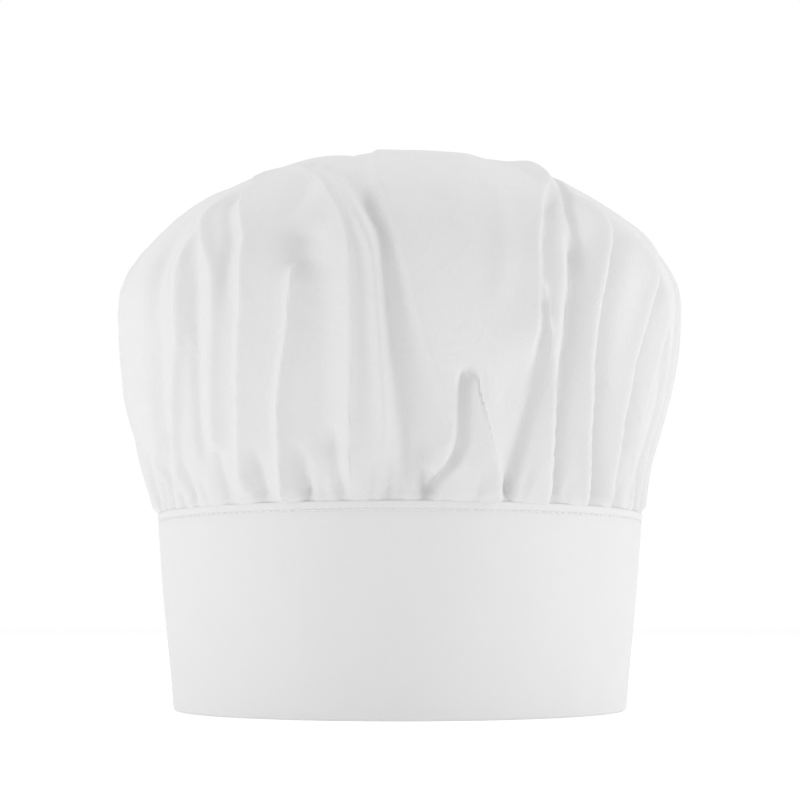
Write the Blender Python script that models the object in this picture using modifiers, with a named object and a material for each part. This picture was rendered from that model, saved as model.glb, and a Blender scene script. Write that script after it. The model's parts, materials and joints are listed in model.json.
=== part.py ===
"""Chef's toque: a gathered cloth crown sewn into a stiffened band that closes at the back.

The band is one cloth strip folded lengthwise along its lower edge, with a stiff interlining in
the fold. Its two ends meet at the back, and a tab of the same make carries on over the joint and
holds with two rows of hook-and-loop tape. The crown is one circle of cloth, gathered into the
band's open upper edge, with a faced slit above the joint so that the band can be let out.

Frame: +Z up, origin at the centre of the band's lower rim, front towards -Y, closure towards +Y.
Azimuths are in degrees, anticlockwise from +X seen from above, so the back is at 90.
"""

import math

import bpy
from mathutils import Matrix, Vector

MM = 0.001

# Band: a slightly conical ring, narrower at the lower rim.
BAND_HEIGHT = 78 * MM
RIM_RADIUS = 91 * MM
BAND_TOP_RADIUS = 98.5 * MM
BACK = 90.0
FRONT = 270.0

# Cloth and the spaces between layers.
CLOTH = 0.5 * MM
STIFFENER = 0.8 * MM
GAP = 0.3 * MM
WALL = 2 * CLOTH + 2 * GAP + STIFFENER

# Crown: a cosine flare from the neck to the widest ring, then half an ellipse over the top.
CROWN_CLOTH = 0.8 * MM
CROWN_WIDEST = 115 * MM
CROWN_WIDEST_Z = 160 * MM
CROWN_TOP_Z = 224 * MM
SEAM_ALLOWANCE = 8 * MM
NECK_RISE = 0.5 * MM

# Joint in the band at the back, and the slit in the crown above it.
JOINT_WIDTH = 3 * MM
SLIT_CENTRE_Z = 100 * MM
SLIT_HALF_HEIGHT = 26 * MM
SLIT_HALF_WIDTH = 4.5 * MM
FACING_WIDTH = 6 * MM
BARTACK = Vector((7, 1.2, 1.6)) * MM

# Hook-and-loop tape, in two rows, and the tab that carries the loop half.
TAPE = 1.2 * MM
TAPE_HEIGHT = 20 * MM
TAPE_ROWS = {"upper": 44 * MM, "lower": 14 * MM}
HOOK_START, HOOK_SPAN = 61.5, 24.0
LOOP_START, LOOP_SPAN = 60.0, 26.0
TAB_ROOT, TAB_SPAN = 91.5, 33.0
TAB_STANDOFF = 3 * GAP + 2 * TAPE
HINGE_STANDOFF = 2.6 * MM
TAB_LOWER_EDGE = 0.8 * MM
ROOT_CLOTH, ROOT_SPAN = 1 * MM, 4.5

# Sweatband inside the front, and the care label inside the back.
SWEATBAND = 1.2 * MM
SWEATBAND_SPAN = 150.0
SWEATBAND_Z = (4 * MM, 34 * MM)
LABEL_AZIMUTH = 118.0
LABEL_SIZE = Vector((25, 0.8, 18)) * MM
LABEL_TOP_Z = 70 * MM

# Sewing thread, and how far a row of stitches runs from an edge.
THREAD = 0.5 * MM
EDGE_MARGIN = 3.3 * MM

STEP_DEGREES = 5.0
FLARE_STEPS = 8
DOME_STEPS = 11

WHITE_CLOTH = ("white_cloth", (0.86, 0.86, 0.86, 1), 0.85)
INTERLINING = ("interlining", (0.78, 0.78, 0.75, 1), 0.9)
TOWELLING = ("towelling", (0.84, 0.84, 0.82, 1), 1.0)
HOOKS = ("hook_tape", (0.8, 0.8, 0.8, 1), 0.55)
LOOPS = ("loop_tape", (0.84, 0.84, 0.84, 1), 0.95)
SATIN = ("label_satin", (0.88, 0.88, 0.86, 1), 0.4)
SPUN_THREAD = ("thread", (0.9, 0.9, 0.9, 1), 0.6)


def clear_scene():
    for obj in list(bpy.data.objects):
        bpy.data.objects.remove(obj)


def collection(name):
    made = bpy.data.collections.new(name)
    bpy.context.scene.collection.children.link(made)
    return made


def material(name, colour, roughness):
    found = bpy.data.materials.get(name)
    if found:
        return found
    made = bpy.data.materials.new(name)
    made.use_nodes = True
    shader = made.node_tree.nodes["Principled BSDF"]
    shader.inputs["Base Color"].default_value = colour
    shader.inputs["Roughness"].default_value = roughness
    shader.inputs["Metallic"].default_value = 0.0
    return made


def place(name, data, finish, where):
    """A new object named for its piece, in collection where, with its material."""
    obj = bpy.data.objects.new(name, data)
    if finish:
        data.materials.append(material(*finish))
    where.objects.link(obj)
    return obj


def as_cutter(obj):
    obj.hide_render = True
    obj.display_type = "WIRE"
    return obj


def radial(azimuth, radius, z):
    """The point at that azimuth in degrees, radius and height."""
    angle = math.radians(azimuth)
    return Vector((radius * math.cos(angle), radius * math.sin(angle), z))


def band_radius(z):
    """Radius of the band's outside at height z."""
    return RIM_RADIUS + (BAND_TOP_RADIUS - RIM_RADIUS) * z / BAND_HEIGHT


def crown_profile(inset=0.0, lowest=0.0):
    """Points (radius, z) down the crown's outside, from its top to its raw edge in the band.

    inset moves them inwards, and points below lowest are left out."""
    points = []
    rise = CROWN_TOP_Z - CROWN_WIDEST_Z
    for i in range(DOME_STEPS + 1):
        t = 0.5 * math.pi * (1 - i / DOME_STEPS)
        radius, height = (CROWN_WIDEST - inset) * math.cos(t), (rise - inset) * math.sin(t)
        points.append((radius, CROWN_WIDEST_Z + height))
    neck_z = BAND_HEIGHT + NECK_RISE
    neck = band_radius(BAND_HEIGHT) - CLOTH - GAP
    for i in range(1, FLARE_STEPS + 1):
        t = i / FLARE_STEPS
        radius = neck + (CROWN_WIDEST - neck) * math.cos(0.5 * math.pi * t) - inset
        points.append((radius, CROWN_WIDEST_Z + (neck_z - CROWN_WIDEST_Z) * t))
    raw_edge = BAND_HEIGHT - SEAM_ALLOWANCE
    points.append((band_radius(raw_edge) - CLOTH - GAP - inset, raw_edge))
    return [p for p in points if p[1] >= lowest]


def crown_radius(z):
    """Radius of the crown's outside at height z, by its profile."""
    profile = crown_profile()
    for (r1, z1), (r2, z2) in zip(profile, profile[1:]):
        if z2 <= z <= z1:
            return r2 + (r1 - r2) * (z - z2) / (z1 - z2)
    raise ValueError("z is off the crown")


def turned(name, profile, start, span, thickness, finish, where):
    """A cloth shell: the profile turned about Z from azimuth start through span degrees.

    The profile runs down its outer side, and the cloth lies inside it."""
    mesh = bpy.data.meshes.new(name)
    points = [Vector((radius, 0, z)) for radius, z in profile]
    mesh.from_pydata(points, [(i, i + 1) for i in range(len(points) - 1)], [])
    obj = place(name, mesh, finish, where)
    obj.rotation_euler.z = math.radians(start)
    screw = obj.modifiers.new("turn", "SCREW")
    screw.angle = math.radians(span)
    screw.steps = screw.render_steps = math.ceil(span / STEP_DEGREES)
    screw.use_smooth_shade = True
    screw.use_merge_vertices = span == 360
    screw.merge_threshold = 0.0001
    solid = obj.modifiers.new("cloth", "SOLIDIFY")
    solid.thickness = thickness
    solid.offset = -1
    solid.use_even_offset = True
    return obj


def cone_patch(name, standoff, heights, start, span, thickness, finish, where):
    """A flat strip bent round the band, its outer face standoff outside the band's own."""
    profile = [(band_radius(z) + standoff, z) for z in (max(heights), min(heights))]
    return turned(name, profile, start, span, thickness, finish, where)


def folded_strip(name, standoff, lower_edge, start, span, where):
    """Cloth folded along its lower edge: outer wall, fold and inner wall, open at the top."""
    outside = [(band_radius(z) + standoff, z) for z in (BAND_HEIGHT, lower_edge)]
    inside = [(band_radius(z) + standoff - WALL, z) for z in (lower_edge, BAND_HEIGHT)]
    return turned(name, outside + inside, start, span, CLOTH, WHITE_CLOTH, where)


def thread(name, points, closed, where):
    """A row of stitches as one thin cord through the points."""
    curve = bpy.data.curves.new(name, "CURVE")
    curve.dimensions = "3D"
    curve.bevel_depth = THREAD / 2
    curve.bevel_resolution = 1
    curve.use_fill_caps = True
    spline = curve.splines.new("POLY")
    spline.points.add(len(points) - 1)
    for knot, point in zip(spline.points, points):
        knot.co = (*point, 1)
    spline.use_cyclic_u = closed
    return place(name, curve, SPUN_THREAD, where)


def line_round(standoff, z_start, z_end, start, end):
    """Points round the band from azimuth start to end, at standoff from its outside."""
    count = max(2, math.ceil(abs(end - start) / STEP_DEGREES) + 1)
    points = []
    for i in range(count):
        t = i / (count - 1)
        z = z_start + (z_end - z_start) * t
        points.append(radial(start + (end - start) * t, band_radius(z) + standoff, z))
    return points


def box_stitch(name, standoff, heights, start, span, where):
    """A closed box of stitches on the band's curve."""
    low, high = heights
    lower = line_round(standoff, low, low, start, start + span)
    upper = line_round(standoff, high, high, start + span, start)
    return thread(name, lower + upper, True, where)


def boolean(obj, cutter, operation="DIFFERENCE"):
    modifier = obj.modifiers.new(cutter.name, "BOOLEAN")
    modifier.operation = operation
    modifier.object = cutter
    return modifier


def oval_cutter(name, half_width, half_height, where):
    """An oval bar along Y through the crown's back wall, at the slit."""
    length = CROWN_WIDEST
    bpy.ops.mesh.primitive_cylinder_add(vertices=24, radius=1, depth=length)
    obj = bpy.context.object
    obj.name = name
    obj.data.transform(Matrix.Diagonal((half_width, half_height, 1, 1)))
    obj.data.transform(Matrix.Rotation(math.radians(90), 4, "X"))
    obj.location = (0, length, SLIT_CENTRE_Z)
    for owner in list(obj.users_collection):
        owner.objects.unlink(obj)
    where.objects.link(obj)
    return as_cutter(obj)


def box_mesh(name, size):
    """A box of that size about its own centre, from the cube primitive."""
    bpy.ops.mesh.primitive_cube_add(size=1)
    obj = bpy.context.object
    mesh = obj.data
    mesh.name = name
    mesh.transform(Matrix.Diagonal((*size, 1)))
    bpy.data.objects.remove(obj)
    return mesh


def make_band(where):
    joint_degrees = math.degrees(JOINT_WIDTH / BAND_TOP_RADIUS)
    start, span = BACK + joint_degrees / 2, 360 - joint_degrees
    folded_strip("band_cloth", 0, 0, start, span, where)
    heights = (CLOTH + GAP, BAND_HEIGHT - SEAM_ALLOWANCE - 2 * MM)
    cone_patch("band_interlining", -CLOTH - GAP, heights, start, span, STIFFENER, INTERLINING, where)
    row = BAND_HEIGHT - EDGE_MARGIN
    stitches = line_round(GAP + THREAD / 2, row, row, start, start + span)
    thread("band_topstitching", stitches, False, where)


def make_crown(where, cutters):
    crown = turned("crown", crown_profile(), 0, 360, CROWN_CLOTH, WHITE_CLOTH, where)
    slit = oval_cutter("slit_cutter", SLIT_HALF_WIDTH, SLIT_HALF_HEIGHT, cutters)
    boolean(crown, slit)
    slot_size = Vector((JOINT_WIDTH, CROWN_WIDEST, 2 * SEAM_ALLOWANCE))
    slot = place("seam_slot_cutter", box_mesh("seam_slot_cutter", slot_size), None, cutters)
    slot.location = (0, CROWN_WIDEST, BAND_HEIGHT - SEAM_ALLOWANCE / 4)
    boolean(crown, as_cutter(slot))
    make_slit_facing(slit, where, cutters)
    make_bartack(where)


def make_slit_facing(slit, where, cutters):
    """A flat cloth oval sewn round the slit, inside the crown."""
    profile = crown_profile(CROWN_CLOTH + GAP, lowest=BAND_HEIGHT)
    lower_half = [p for p in profile if p[1] < CROWN_WIDEST_Z]
    facing = turned("slit_facing", lower_half, BACK - 15, 30, CLOTH, WHITE_CLOTH, where)
    half_width, half_height = SLIT_HALF_WIDTH + FACING_WIDTH, SLIT_HALF_HEIGHT + FACING_WIDTH
    outline = oval_cutter("facing_outline", half_width, half_height, cutters)
    boolean(facing, outline, "INTERSECT")
    boolean(facing, slit)


def make_bartack(where):
    """The dense bar of stitches that stops the slit from tearing at its upper end."""
    z = SLIT_CENTRE_Z + SLIT_HALF_HEIGHT + BARTACK.z
    bar = place("slit_bartack", box_mesh("slit_bartack", BARTACK), SPUN_THREAD, where)
    bar.location = (0, crown_radius(z) + GAP + BARTACK.y / 2, z)
    rise = crown_radius(z + MM) - crown_radius(z - MM)
    bar.rotation_euler.x = -math.atan2(rise, 2 * MM)
    rounded = bar.modifiers.new("rounded", "BEVEL")
    rounded.width = 0.4 * MM
    rounded.segments = 2


def make_hook_tapes(where):
    """The hook half of the closure, on the end of the band that the tab covers."""
    for row, low in TAPE_ROWS.items():
        heights = (low, low + TAPE_HEIGHT)
        name = f"hook_tape_{row}"
        cone_patch(name, GAP + TAPE, heights, HOOK_START, HOOK_SPAN, TAPE, HOOKS, where)
        sewn = (low + 2 * MM, low + TAPE_HEIGHT - 2 * MM)
        inside = -WALL - GAP - THREAD / 2
        box_stitch(f"hook_stitching_{row}", inside, sewn, HOOK_START + 1.5, HOOK_SPAN - 3, where)


def make_sweatband(where):
    start = FRONT - SWEATBAND_SPAN / 2
    face = -WALL - GAP
    cone_patch("sweatband", face, SWEATBAND_Z, start, SWEATBAND_SPAN, SWEATBAND, TOWELLING, where)
    row = SWEATBAND_Z[1] - EDGE_MARGIN
    standoff = face - SWEATBAND - GAP - THREAD / 2
    stitches = line_round(standoff, row, row, start + 1, start + SWEATBAND_SPAN - 1)
    thread("sweatband_stitching", stitches, False, where)


def hang_on(pivot, pieces):
    """Parents the pieces to the joint's empty where they already are."""
    bpy.context.view_layer.update()
    for piece in pieces:
        piece.parent = pivot
        piece.matrix_parent_inverse = pivot.matrix_world.inverted()


def make_tab(where):
    """The closure tab. It peels open about the band's own slope at the joint."""
    start = TAB_ROOT - TAB_SPAN
    face = TAB_STANDOFF + WALL
    pieces = [folded_strip("tab_cloth", face, TAB_LOWER_EDGE, start, TAB_SPAN, where)]
    heights = (TAB_LOWER_EDGE + CLOTH + GAP, BAND_HEIGHT - 2 * MM)
    inner = (start + 1.5, TAB_SPAN - 3)
    pieces.append(
        cone_patch("tab_interlining", face - CLOTH - GAP, heights, *inner, STIFFENER, INTERLINING, where)
    )
    for row, low in TAPE_ROWS.items():
        heights = (low, low + TAPE_HEIGHT)
        outer = TAB_STANDOFF - GAP
        name = f"loop_tape_{row}"
        pieces.append(
            cone_patch(name, outer, heights, LOOP_START, LOOP_SPAN, TAPE, LOOPS, where)
        )
        sewn = (low + 2 * MM, low + TAPE_HEIGHT - 2 * MM)
        standoff = face + GAP + THREAD / 2
        name = f"loop_stitching_{row}"
        pieces.append(box_stitch(name, standoff, sewn, LOOP_START + 1.5, LOOP_SPAN - 3, where))
    pieces.append(make_tab_edge_stitching(start, face, where))

    pivot = place("tab_hinge", None, None, where)
    foot = radial(TAB_ROOT, RIM_RADIUS + HINGE_STANDOFF, 0)
    head = radial(TAB_ROOT, BAND_TOP_RADIUS + HINGE_STANDOFF, BAND_HEIGHT)
    pivot.location = foot
    pivot.rotation_mode = "QUATERNION"
    pivot.rotation_quaternion = (head - foot).to_track_quat("Z", "Y")
    hang_on(pivot, pieces)


def make_tab_root(where):
    """The tab's turned-in end, sewn flat on the band just past the joint."""
    heights = (TAB_LOWER_EDGE, BAND_HEIGHT - 5 * MM)
    face = GAP + ROOT_CLOTH
    start = TAB_ROOT + 0.3
    cone_patch("tab_root", face, heights, start, ROOT_SPAN, ROOT_CLOTH, WHITE_CLOTH, where)
    row = start + 0.6 * ROOT_SPAN
    ends = (min(heights) + EDGE_MARGIN, max(heights) - EDGE_MARGIN)
    stitches = line_round(face + GAP + THREAD / 2, *ends, row, row)
    thread("tab_root_stitching", stitches, False, where)


def make_tab_edge_stitching(start, face, where):
    """Topstitching along the tab's lower edge, free end and upper edge."""
    standoff = face + GAP + THREAD / 2
    inset = math.degrees(EDGE_MARGIN / BAND_TOP_RADIUS)
    low, high = TAB_LOWER_EDGE + EDGE_MARGIN, BAND_HEIGHT - EDGE_MARGIN
    lower = line_round(standoff, low, low, TAB_ROOT - 1, start + inset)
    upper = line_round(standoff, high, high, start + inset, TAB_ROOT - 1)
    return thread("tab_edge_stitching", lower + upper, False, where)


def make_label(where):
    """A folded satin label that hangs by its upper edge inside the band."""
    half_width = LABEL_SIZE.x / 2
    wall = band_radius(LABEL_TOP_Z) - WALL - 2 * GAP
    reach = math.sqrt(wall**2 - half_width**2) - LABEL_SIZE.y / 2
    slope = math.atan2(BAND_TOP_RADIUS - RIM_RADIUS, BAND_HEIGHT)
    pivot = place("label_hinge", None, None, where)
    pivot.location = radial(LABEL_AZIMUTH, reach, LABEL_TOP_Z)
    pivot.rotation_euler = (-slope, 0, math.radians(LABEL_AZIMUTH - 90))
    label = place("care_label", box_mesh("care_label", LABEL_SIZE), SATIN, where)
    label.parent = pivot
    label.location = (0, 0, -LABEL_SIZE.z / 2)

    across = radial(LABEL_AZIMUTH + 90, half_width - MM, 0)
    middle = radial(LABEL_AZIMUTH, reach, LABEL_TOP_Z + 1.4 * MM)
    thread("label_stitching", [middle - across, middle, middle + across], False, where)


def main():
    clear_scene()
    toque = collection("chef_toque")
    cutters = collection("cutters")
    make_band(toque)
    make_crown(toque, cutters)
    make_hook_tapes(toque)
    make_sweatband(toque)
    make_tab_root(toque)
    make_tab(toque)
    make_label(toque)


main()
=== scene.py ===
import json
import math

import bmesh
import bpy
import numpy as np
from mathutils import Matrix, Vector
from mathutils.bvhtree import BVHTree


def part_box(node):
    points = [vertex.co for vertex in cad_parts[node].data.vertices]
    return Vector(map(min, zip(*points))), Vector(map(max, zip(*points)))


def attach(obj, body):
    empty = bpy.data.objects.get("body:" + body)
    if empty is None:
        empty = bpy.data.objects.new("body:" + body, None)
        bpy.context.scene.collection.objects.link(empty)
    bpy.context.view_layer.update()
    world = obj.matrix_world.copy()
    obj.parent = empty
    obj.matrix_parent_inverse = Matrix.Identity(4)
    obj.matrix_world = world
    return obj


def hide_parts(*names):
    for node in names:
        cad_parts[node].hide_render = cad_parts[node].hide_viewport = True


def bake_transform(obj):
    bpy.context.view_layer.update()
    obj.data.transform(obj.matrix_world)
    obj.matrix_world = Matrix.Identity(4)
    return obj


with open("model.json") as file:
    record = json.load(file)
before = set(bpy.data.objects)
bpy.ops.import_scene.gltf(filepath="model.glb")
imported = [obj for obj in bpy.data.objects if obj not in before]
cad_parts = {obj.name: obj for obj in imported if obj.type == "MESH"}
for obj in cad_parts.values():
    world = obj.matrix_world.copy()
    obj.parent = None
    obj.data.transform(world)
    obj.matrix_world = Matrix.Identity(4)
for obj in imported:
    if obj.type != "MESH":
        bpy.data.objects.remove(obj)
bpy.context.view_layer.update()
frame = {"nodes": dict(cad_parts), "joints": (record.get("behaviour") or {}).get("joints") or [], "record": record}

MM = 0.001
rng = np.random.default_rng(seed=7)

# The band, from the frame: a cone between the lower rim and the upper edge. Its wall holds two
# layers of cloth, the stiffener and the gaps between them.
WALL = 2.4 * MM
CLOTH = 0.5 * MM
GAP = 0.3 * MM
BAND_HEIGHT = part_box("band_cloth")[1].z
BAND_TOP_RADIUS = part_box("band_cloth")[1].x
RIM_MOUNT = next(m for m in frame["record"]["mounts"] if m["name"] == "rim")
RIM_RADIUS = abs(RIM_MOUNT["pos_m"][1]) + WALL / 2
BAND_SLOPE = (BAND_TOP_RADIUS - RIM_RADIUS) / BAND_HEIGHT

# Directions round the hat, in degrees.
BACK = 90.0
FRONT = 270.0

# The crown, from the frame: its widest ring stands 160 mm up.
CROWN_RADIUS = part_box("crown")[1].x
CROWN_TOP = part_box("crown")[1].z
CROWN_WIDEST_Z = 160 * MM
NECK_RADIUS = BAND_TOP_RADIUS - CLOTH - 0.1 * MM
HEM = 6 * MM
SLIT_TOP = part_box("slit_bartack")[0].z
SLIT_HALF_WIDTH = 4.5 * MM
FACING_WIDTH = 6 * MM
CUT_WIDTH = 470 * MM

# The crown is settled as a coarse cloth, and its movement is carried over to the fine one.
COARSE_COLUMNS, COARSE_ROWS = 150, 60
COLUMNS, ROWS = 420, 225

# The closing tab, from the frame. Between the two azimuths of TAB_BEND it goes over from the
# loose, stiffened tab to its flat root, which is sewn on the band.
STITCH_INSET = 3.3 * MM
TAB_STANDOFF = 3.3 * MM
TAB_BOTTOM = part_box("tab_cloth")[0].z
TAB_OUTER_RADIUS = BAND_TOP_RADIUS + TAB_STANDOFF + WALL
TAB_END = math.degrees(math.acos(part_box("tab_cloth")[1].x / TAB_OUTER_RADIUS))
TAB_BEND = (90.2, 92.9)
TAB_ROOT_END = 96.3

# The rows of stitches that hold the tapes: azimuths in degrees, and (low, high) of each row.
# The tapes reach past them by TAPE_EDGE degrees and TAPE_SEAM metres.
TAPE_MIDDLE, TAPE_HALF = 73.0, 10.5
TAPE_EDGE, TAPE_SEAM = 1.8, 2 * MM
TAPE_ROWS = [(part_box(f"loop_tape_{row}")[0].z + TAPE_SEAM,
              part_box(f"loop_tape_{row}")[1].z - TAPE_SEAM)
             for row in ("upper", "lower")]

THREAD_RADIUS = 0.19 * MM

SURROUND_LIGHT = 0.75
SOFTBOX_POWER = 7
FLOOR_GLOW = 0.37


def band_radius(z):
    """Radius of the band's outside at height z."""
    return RIM_RADIUS + (BAND_TOP_RADIUS - RIM_RADIUS) * z / BAND_HEIGHT


def smoothstep(low, high, value):
    """0 below low and 1 above high, with a smooth rise in between."""
    t = np.clip((value - low) / (high - low), 0, 1)
    return t * t * (3 - 2 * t)


def around(azimuth, radius, z):
    """Points at those azimuths in degrees, radii and heights, in an array's last axis."""
    angle = np.radians(azimuth)
    x, y, z = np.broadcast_arrays(radius * np.cos(angle), radius * np.sin(angle), z)
    return np.stack([x, y, z], -1)


def mesh_object(name, points, faces, uv=None):
    """A smooth mesh, with its place on the flat cloth in metres as each point's UV, if given."""
    mesh = bpy.data.meshes.new(name)
    mesh.from_pydata([tuple(p) for p in points], [], [tuple(f) for f in faces])
    mesh.update()
    mesh.shade_smooth()
    if uv is not None:
        corners = np.zeros(len(mesh.loops), np.int32)
        mesh.loops.foreach_get("vertex_index", corners)
        layer = mesh.uv_layers.new(name="cut")
        layer.data.foreach_set("uv", np.asarray(uv, np.float32)[corners].ravel())
    made = bpy.data.objects.new(name, mesh)
    bpy.context.scene.collection.objects.link(made)
    return made


def grid_faces(rows, columns, closed):
    """Quads of a grid whose points run along each row in turn."""
    row, column = np.meshgrid(np.arange(rows - 1), np.arange(columns - (not closed)), indexing="ij")
    after = (column + 1) % columns
    corners = (row * columns + column, row * columns + after,
               (row + 1) * columns + after, (row + 1) * columns + column)
    return np.stack([c.ravel() for c in corners], -1)


def apply_modifiers(obj):
    """Puts the result of the object's modifiers in its mesh and takes them off."""
    graph = bpy.context.evaluated_depsgraph_get()
    made = bpy.data.meshes.new_from_object(obj.evaluated_get(graph))
    obj.modifiers.clear()
    obj.data = made


# -------- crown


def crown_curve():
    """The crown's outline as arrays: reach up the cloth from the neck, radius and height."""
    t = np.linspace(0, 1, 160)
    lower_z = BAND_HEIGHT + (CROWN_WIDEST_Z - BAND_HEIGHT) * t
    lower_r = NECK_RADIUS + (CROWN_RADIUS - NECK_RADIUS) * np.sin(0.5 * np.pi * t)
    angle = 0.5 * np.pi * t[1:]
    upper_z = CROWN_WIDEST_Z + (CROWN_TOP - CROWN_WIDEST_Z) * np.sin(angle)
    upper_r = CROWN_RADIUS * np.cos(angle)
    radius, z = np.append(lower_r, upper_r), np.append(lower_z, upper_z)
    reach = np.append(0, np.cumsum(np.hypot(np.diff(radius), np.diff(z))))
    return reach, radius, z


CURVE = crown_curve()
CLOTH_REACH = CURVE[0][-1]


def rounded_path(azimuths, reaches, corner=5.0):
    """A path's (reaches, azimuths) in 1 mm steps, with its corners rounded off over a few mm."""
    fine = np.arange(reaches[0] - 2 * corner, reaches[-1] + 2 * corner + 1, 1.0)
    near = np.exp(-((fine[:, None] - fine[None, :]) / corner) ** 2)
    return fine, near @ np.interp(fine, reaches, azimuths) / near.sum(1)


class Fold:
    """One ridge or valley in the crown, on a path of (azimuth in degrees, reach in mm).

    height in mm is negative for a valley. left and right are its half widths in mm on either
    side as seen from outside; spread widens it towards the path's upper end. A sharpness of 2
    is a round fold and about 1 a crease. fade is how far its ends taper, in mm."""

    def __init__(self, path, height, left, right=None, sharp=1.4, spread=1.0, fade=(8, 22)):
        azimuths, reaches = np.array(path, float).T
        self.low, self.high = reaches[0], reaches[-1]
        self.reaches, self.azimuths = rounded_path(azimuths, reaches)
        self.height, self.left, self.right = height, left, right or left
        self.sharp, self.spread, self.fade = sharp, spread, fade

    def lift(self, azimuth, reach, radius):
        """Its height in mm at those points; reach and radius are in mm."""
        crest = np.interp(reach, self.reaches, self.azimuths)
        across = np.radians((azimuth - crest + 180) % 360 - 180) * np.maximum(radius, 25)
        share = np.clip((reach - self.low) / (self.high - self.low), 0, 1)
        width = np.where(across < 0, self.left, self.right) * (1 + (self.spread - 1) * share)
        shape = np.exp(-np.abs(across / width) ** self.sharp)
        fade_in, fade_out = self.fade
        window = smoothstep(self.low - fade_in, self.low, reach)
        window = window * (1 - smoothstep(self.high, self.high + fade_out, reach))
        return self.height * window * shape


FRONT_FOLDS = [
    # Left of the middle.
    Fold([(203, 16), (211, 50), (220, 78)], 0.8, 6, sharp=2),
    Fold([(209, 14), (214, 35), (217, 62), (216, 95)], -2.2, 6, sharp=2, fade=(10, 20)),
    Fold([(213, 8), (219.5, 34), (224.8, 62), (225, 92)], 2.4, 4.2, 3.2, sharp=1.8),
    Fold([(226, 24), (229.2, 59), (229.2, 80)], -1.8, 2.8, sharp=2, fade=(12, 18)),
    Fold([(230.5, 26), (234.3, 65), (234.3, 87), (224, 115)], 2.2, 4, 4),
    Fold([(237, 86), (237, 97), (229, 122)], -1.4, 3, sharp=2, fade=(20, 22)),
    Fold([(235.6, 10), (237.8, 30), (240.9, 73), (240.9, 97), (228, 140)], 3.0, 2.2, 8, sharp=1.1),
    Fold([(252.6, 88), (252.6, 96)], -3.4, 7.5, sharp=2, fade=(10, 8)),
    Fold([(245, 2), (247, 37), (250, 62), (251, 82)], 2.8, 2.2, 3.5, sharp=1.2, fade=(4, 6)),
    Fold([(256, 22), (256, 84)], -1.4, 7, sharp=2),
    Fold([(260, 12), (261.5, 53), (261.5, 89), (259.4, 104), (250.5, 133), (241, 148)],
         2.7, 6, 2.8, sharp=1.1),
    # The rolled fold in the middle, the valley behind it, and the big panel's left edge.
    Fold([(267, 36), (266.1, 78), (265.4, 89), (262.9, 100), (255.6, 129), (247, 142)],
         2.7, 3.6, 3.4, sharp=1.8, fade=(30, 30)),
    Fold([(271.5, 20), (269, 56), (268, 74), (267, 97), (264, 108)], -3.6, 2.6, 6, sharp=1.5,
         fade=(25, 14)),
    Fold([(276, 14), (280, 24), (278, 40), (274.5, 57), (269, 97), (266, 118), (262, 160)],
         2.6, 3.6, 12),
    Fold([(288, 78), (290, 115)], 0.6, 4, sharp=2),
    # The slit-like tuck, the tent beside it, the wedge, and the next pleat's widening foot.
    Fold([(275.5, 3), (279, 10), (281.8, 19), (281.8, 44)], -3.0, 2.0, 2.0, sharp=2.8, fade=(4, 5)),
    Fold([(291.2, 0), (288.2, 20), (284.0, 42)], 4.0, 11, 1.3, sharp=1.5, spread=0.2, fade=(1, 5)),
    Fold([(293.2, 5), (292.2, 18), (291.6, 36)], -1.8, 1.6, sharp=2.0, spread=5, fade=(8, 20)),
    Fold([(293.2, 0), (294.6, 24), (295.8, 40), (296.4, 57)], -2.0, 2.4, 1.3, sharp=1.6, spread=1.6,
         fade=(1.5, 12)),
    Fold([(303.4, 0), (300.5, 36), (298.8, 53), (297.7, 75)], 3.0, 9, 1.3, sharp=1.6, spread=0.3,
         fade=(1, 8)),
    # The big panel's sharp right edge and the leaf-shaped hollow behind it.
    Fold([(294.8, 62), (295.2, 95), (299.8, 116), (310.5, 138)], 4.2, 11, 1.6, sharp=1.1,
         fade=(16, 26)),
    Fold([(296.8, 72), (297, 95), (301.8, 116), (311.5, 136)], -4.0, 1.8, 7, fade=(14, 16)),
    Fold([(304.6, 92), (305.4, 104), (307.5, 116), (315, 134), (323, 151)], -1.8, 3, 1.2,
         fade=(14, 10)),
    # Right of the middle: pleats that rise gently and drop sharply on their right.
    Fold([(304.9, 0), (302.6, 34), (302.2, 53), (302.9, 72), (303.7, 90)], -4.2, 2, 3.8,
         fade=(2, 14)),
    Fold([(314.9, 0), (310.7, 25), (308.1, 54), (308.6, 74), (310.9, 92), (316, 108)],
         3.4, 4.6, 2.2, sharp=1.6, spread=1.4, fade=(2, 30)),
    Fold([(316.9, 0), (312.6, 25), (309.9, 54), (310.6, 74), (313.4, 92), (319, 106)],
         -5.6, 1.9, 5.4, sharp=1.7, spread=1.4, fade=(2, 28)),
    Fold([(323.9, 0), (320.1, 37), (320.6, 57), (324.4, 78), (328.5, 90)], 3.3, 4.6, 2.2, sharp=1.6,
         spread=1.4, fade=(2, 30)),
    Fold([(325.7, 0), (322, 37), (322.6, 57), (326.9, 78), (331.5, 90)], -5.4, 1.9, 5, sharp=1.7,
         spread=1.4, fade=(2, 28)),
    Fold([(336, 0), (329, 33), (329.8, 49), (332.2, 64), (335.5, 78)], 2.8, 4.4, 2.2, sharp=1.6,
         spread=1.4, fade=(2, 30)),
    Fold([(338, 0), (331, 33), (332, 49), (334.7, 64), (338.5, 78)], -4.8, 1.9, 4.8, sharp=1.7,
         spread=1.4, fade=(2, 28)),
]


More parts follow.
